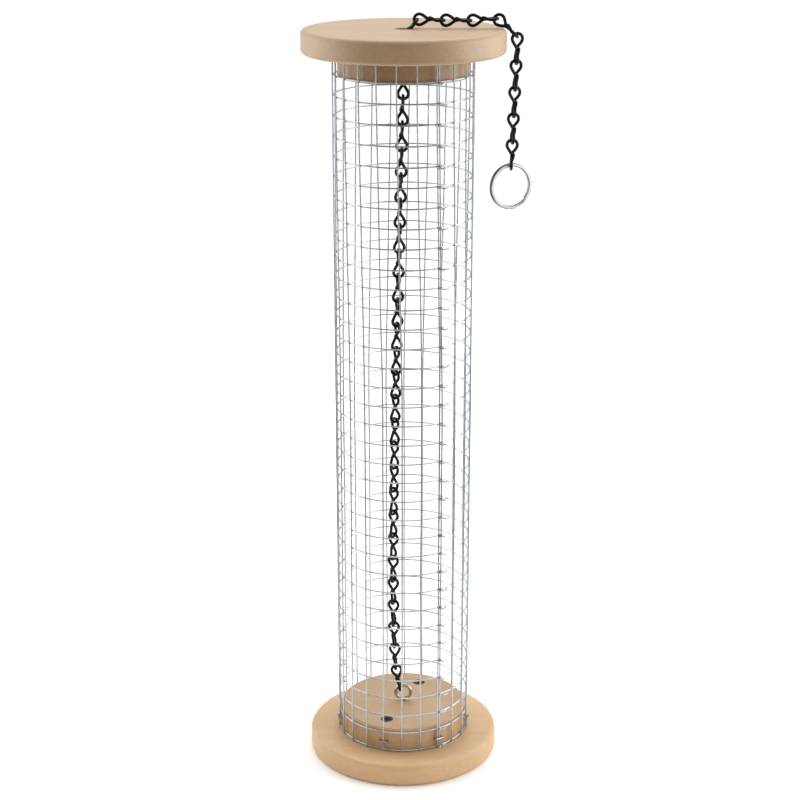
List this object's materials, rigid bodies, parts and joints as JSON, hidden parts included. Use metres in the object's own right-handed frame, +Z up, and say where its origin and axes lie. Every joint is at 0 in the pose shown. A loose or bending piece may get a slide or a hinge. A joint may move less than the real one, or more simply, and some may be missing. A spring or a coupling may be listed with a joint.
{
  "type": "bird feeder",
  "caption": "Hanging nut feeder for birds: a welded-wire tube between a wooden base and a lift-off wooden lid, on a chain with a split ring.",
  "frame": {"origin": "centre of the base board's underside, where the feeder stands", "axes": "+Z up along the tube, +X towards the side that the chain hangs over, -Y is the front"},
  "size_m": [0.1446, 0.127, 0.4977],
  "materials": {
    "wood": "bare sanded pale hardwood, fine grain and pores, rounded rims",
    "galvanised_wire": "galvanised wire, dull bluish silver",
    "black_chain": "gloss black coated steel wire",
    "nickel_ring": "bright nickel plate",
    "zinc_hardware": "bright zinc plate"
  },
  "bodies": {
    "feeder_body": {"base_disc": "wood", "base_plug": "wood", "base_plug_screws": "zinc_hardware", "base_staples": "zinc_hardware", "inner_link_01": "black_chain", "inner_link_02": "black_chain", "inner_link_03": "black_chain", "inner_link_04": "black_chain", "inner_link_05": "black_chain", "inner_link_06": "black_chain", "inner_link_07": "black_chain", "inner_link_08": "black_chain", "inner_link_09": "black_chain", "inner_link_10": "black_chain", "inner_link_11": "black_chain", "inner_link_12": "black_chain", "inner_link_13": "black_chain", "inner_link_14": "black_chain", "inner_link_15": "black_chain", "inner_link_16": "black_chain", "inner_link_17": "black_chain", "inner_link_18": "black_chain", "inner_link_19": "black_chain", "inner_link_20": "black_chain", "inner_link_21": "black_chain", "inner_link_22": "black_chain", "inner_link_23": "black_chain", "inner_link_24": "black_chain", "inner_link_25": "black_chain", "inner_link_26": "black_chain", "inner_link_27": "black_chain", "mesh_rings_lower": "galvanised_wire", "mesh_rings_upper": "galvanised_wire", "mesh_seam_hooks": "galvanised_wire", "mesh_vertical_wires": "galvanised_wire", "screw_eye": "zinc_hardware"},
    "lid": {"lid_disc": "wood", "lid_plug": "wood", "lid_plug_screws": "zinc_hardware"},
    "outer_link_01": {"outer_link_01": "black_chain"},
    "outer_link_02": {"outer_link_02": "black_chain"},
    "outer_link_03": {"outer_link_03": "black_chain"},
    "outer_link_04": {"outer_link_04": "black_chain"},
    "outer_link_05": {"outer_link_05": "black_chain"},
    "outer_link_06": {"outer_link_06": "black_chain"},
    "outer_link_07": {"outer_link_07": "black_chain"},
    "outer_link_08": {"outer_link_08": "black_chain"},
    "outer_link_09": {"outer_link_09": "black_chain"},
    "outer_link_10": {"outer_link_10": "black_chain"},
    "split_ring": {"split_ring": "nickel_ring"}
  },
  "joints": [
    {"name": "lid_lift", "type": "slide", "parent": "feeder_body", "child": "lid", "axis": [0, 0, 1], "range_m": [0, 0.0145]},
    {"name": "chain_joint_01", "type": "hinge", "parent": "lid", "child": "outer_link_01", "pos_m": [-0.0016, 0, 0.48058], "axis": [0, 1, 0], "range_deg": [-15, 0]},
    {"name": "chain_joint_02", "type": "hinge", "parent": "outer_link_01", "child": "outer_link_02", "pos_m": [0.0085, 0, 0.4935], "axis": [0, 1, 0], "range_deg": [-50, 0]},
    {"name": "chain_joint_03", "type": "hinge", "parent": "outer_link_02", "child": "outer_link_03", "pos_m": [0.02489, 0, 0.49293], "axis": [0, 1, 0], "range_deg": [-15, 0]},
    {"name": "chain_joint_04", "type": "hinge", "parent": "outer_link_03", "child": "outer_link_04", "pos_m": [0.04129, 0, 0.49278], "axis": [0, 1, 0], "range_deg": [-15, 0]},
    {"name": "chain_joint_05", "type": "hinge", "parent": "outer_link_04", "child": "outer_link_05", "pos_m": [0.05765, 0, 0.4939], "axis": [0, 1, 0], "range_deg": [-45, 0]},
    {"name": "chain_joint_06", "type": "hinge", "parent": "outer_link_05", "child": "outer_link_06", "pos_m": [0.06984, 0, 0.48293], "axis": [0, -1, 0], "range_deg": [-4, 50]},
    {"name": "chain_joint_07", "type": "hinge", "parent": "outer_link_06", "child": "outer_link_07", "pos_m": [0.06942, 0, 0.46863], "axis": [1, 0, 0], "range_deg": [-30, 30]},
    {"name": "chain_joint_08", "type": "hinge", "parent": "outer_link_07", "child": "outer_link_08", "pos_m": [0.06887, 0, 0.45014], "axis": [0, -1, 0], "range_deg": [-4, 35]},
    {"name": "chain_joint_09", "type": "hinge", "parent": "outer_link_08", "child": "outer_link_09", "pos_m": [0.06844, 0, 0.43585], "axis": [1, 0, 0], "range_deg": [-30, 30]},
    {"name": "chain_joint_10", "type": "hinge", "parent": "outer_link_09", "child": "outer_link_10", "pos_m": [0.06789, 0, 0.41735], "axis": [0, -1, 0], "range_deg": [-10, 30]},
    {"name": "ring_swing", "type": "hinge", "parent": "outer_link_10", "child": "split_ring", "pos_m": [0.06741, 0, 0.40366], "axis": [0.9063, 0.4226, 0], "range_deg": [-18, 18]}
  ]
}
